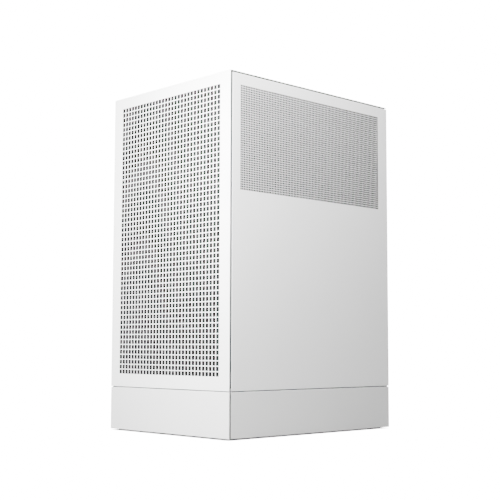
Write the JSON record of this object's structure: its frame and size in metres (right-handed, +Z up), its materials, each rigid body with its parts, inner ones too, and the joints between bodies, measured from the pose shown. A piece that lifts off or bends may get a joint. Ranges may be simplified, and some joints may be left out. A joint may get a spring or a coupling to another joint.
{
  "type": "desktop computer tower",
  "caption": "Compact upright computer case with square-perforated front, fine-perforated side and top panels, low plain plinth, and its working parts inside.",
  "frame": {"origin": "centre of the footprint, on the surface that the tower stands on", "axes": "+Z up; the front faces -Y; +X is on the right of somebody looking at the front"},
  "size_m": [0.211, 0.271, 0.404],
  "materials": {
    "white_paint": "fine matt white powder coat",
    "white_steel": "matt white powder coat on folded sheet",
    "white_plastic": "moulded white plastic with a fine grain",
    "black_plastic": "moulded black plastic",
    "black_steel": "black powder coat",
    "rubber": "soft black rubber",
    "circuit": "circuit board with a black solder mask",
    "aluminium": "plain extruded and stamped aluminium",
    "zinc": "zinc-plated steel",
    "cable_jacket": "black cable sleeve",
    "filter_mesh": "dark nylon mesh in a moulded rim"
  },
  "bodies": {
    "chassis": {"ac_extension_cable": "cable_jacket", "ac_inlet": "black_plastic", "ac_plug": "black_plastic", "board_power_cable": "cable_jacket", "board_screw_1": "zinc", "board_screw_2": "zinc", "board_screw_3": "zinc", "board_screw_4": "zinc", "chassis_base": "white_steel", "coin_cell": "zinc", "cpu": "aluminium", "cpu_fan_frame": "black_plastic", "cpu_heatsink": "aluminium", "front_fan_lower_frame": "black_plastic", "front_fan_upper_frame": "black_plastic", "front_upright_left": "black_steel", "front_upright_right": "black_steel", "gpu_backplate": "black_steel", "gpu_board": "circuit", "gpu_bracket": "zinc", "gpu_heatsink": "aluminium", "gpu_power_cable": "cable_jacket", "gpu_shroud": "black_plastic", "io_bracket": "black_steel", "io_housing": "black_plastic", "io_shield": "zinc", "m2_drive": "aluminium", "motherboard": "circuit", "motherboard_tray": "black_steel", "plinth": "white_plastic", "plinth_floor": "white_plastic", "psu_bracket": "black_steel", "psu_case": "black_steel", "psu_fan_guard": "zinc", "ram_module_1": "black_steel", "ram_module_2": "black_steel", "rear_fan_frame": "black_plastic", "rear_wall": "white_steel", "rubber_foot_front_left": "rubber", "rubber_foot_front_right": "rubber", "rubber_foot_rear_left": "rubber", "rubber_foot_rear_right": "rubber", "sata_drive": "black_steel", "top_frame": "black_steel", "vrm_heatsink": "aluminium"},
    "front_panel": {"front_panel": "white_paint"},
    "side_panel_left": {"side_panel_left": "white_paint"},
    "side_panel_right": {"side_panel_right": "white_paint"},
    "top_panel": {"top_panel": "white_paint"},
    "dust_filter": {"dust_filter": "filter_mesh"},
    "power_button": {"power_button": "white_plastic"},
    "ac_rocker": {"ac_rocker": "black_plastic"},
    "front_fan_lower_rotor": {"front_fan_lower_rotor": "black_plastic"},
    "front_fan_upper_rotor": {"front_fan_upper_rotor": "black_plastic"},
    "rear_fan_rotor": {"rear_fan_rotor": "black_plastic"},
    "cpu_fan_rotor": {"cpu_fan_rotor": "black_plastic"},
    "psu_fan_rotor": {"psu_fan_rotor": "black_plastic"},
    "gpu_fan_rotor_front": {"gpu_fan_rotor_front": "black_plastic"},
    "gpu_fan_rotor_rear": {"gpu_fan_rotor_rear": "black_plastic"}
  },
  "joints": [
    {"name": "front_panel_pull", "type": "slide", "parent": "chassis", "child": "front_panel", "axis": [0, -1, 0], "range_m": [0, 0.06]},
    {"name": "side_panel_left_pull", "type": "slide", "parent": "chassis", "child": "side_panel_left", "axis": [-1, 0, 0], "range_m": [0, 0.06]},
    {"name": "side_panel_right_pull", "type": "slide", "parent": "chassis", "child": "side_panel_right", "axis": [1, 0, 0], "range_m": [0, 0.06]},
    {"name": "top_panel_lift", "type": "slide", "parent": "chassis", "child": "top_panel", "axis": [0, 0, 1], "range_m": [0, 0.06]},
    {"name": "dust_filter_slide", "type": "slide", "parent": "chassis", "child": "dust_filter", "axis": [0, 1, 0], "range_m": [0, 0.24]},
    {"name": "power_button_press", "type": "slide", "parent": "chassis", "child": "power_button", "axis": [0, 0, -1], "range_m": [0, 0.0015], "stiffness_N_per_m": 400, "springref_m": -0.0005},
    {"name": "mains_switch", "type": "hinge", "parent": "chassis", "child": "ac_rocker", "pos_m": [-0.078, 0.1301, 0.0915], "axis": [1, 0, 0], "range_deg": [0, 20]},
    {"name": "front_fan_lower_spin", "type": "hinge", "parent": "chassis", "child": "front_fan_lower_rotor", "pos_m": [0, -0.1175, 0.1137], "axis": [0, 1, 0], "continuous": true},
    {"name": "front_fan_upper_spin", "type": "hinge", "parent": "chassis", "child": "front_fan_upper_rotor", "pos_m": [0, -0.1175, 0.234], "axis": [0, 1, 0], "continuous": true},
    {"name": "rear_fan_spin", "type": "hinge", "parent": "chassis", "child": "rear_fan_rotor", "pos_m": [-0.038, 0.1188, 0.205], "axis": [0, 1, 0], "continuous": true},
    {"name": "cpu_fan_spin", "type": "hinge", "parent": "chassis", "child": "cpu_fan_rotor", "pos_m": [-0.0225, 0.0172, 0.205], "axis": [0, 1, 0], "continuous": true},
    {"name": "psu_fan_spin", "type": "hinge", "parent": "chassis", "child": "psu_fan_rotor", "pos_m": [-0.0926, -0.045, 0.333], "axis": [1, 0, 0], "continuous": true},
    {"name": "gpu_fan_front_spin", "type": "hinge", "parent": "chassis", "child": "gpu_fan_rotor_front", "pos_m": [0.01, -0.031, 0.0666], "axis": [0, 0, 1], "continuous": true},
    {"name": "gpu_fan_rear_spin", "type": "hinge", "parent": "chassis", "child": "gpu_fan_rotor_rear", "pos_m": [0.01, 0.067, 0.0666], "axis": [0, 0, 1], "continuous": true}
  ]
}
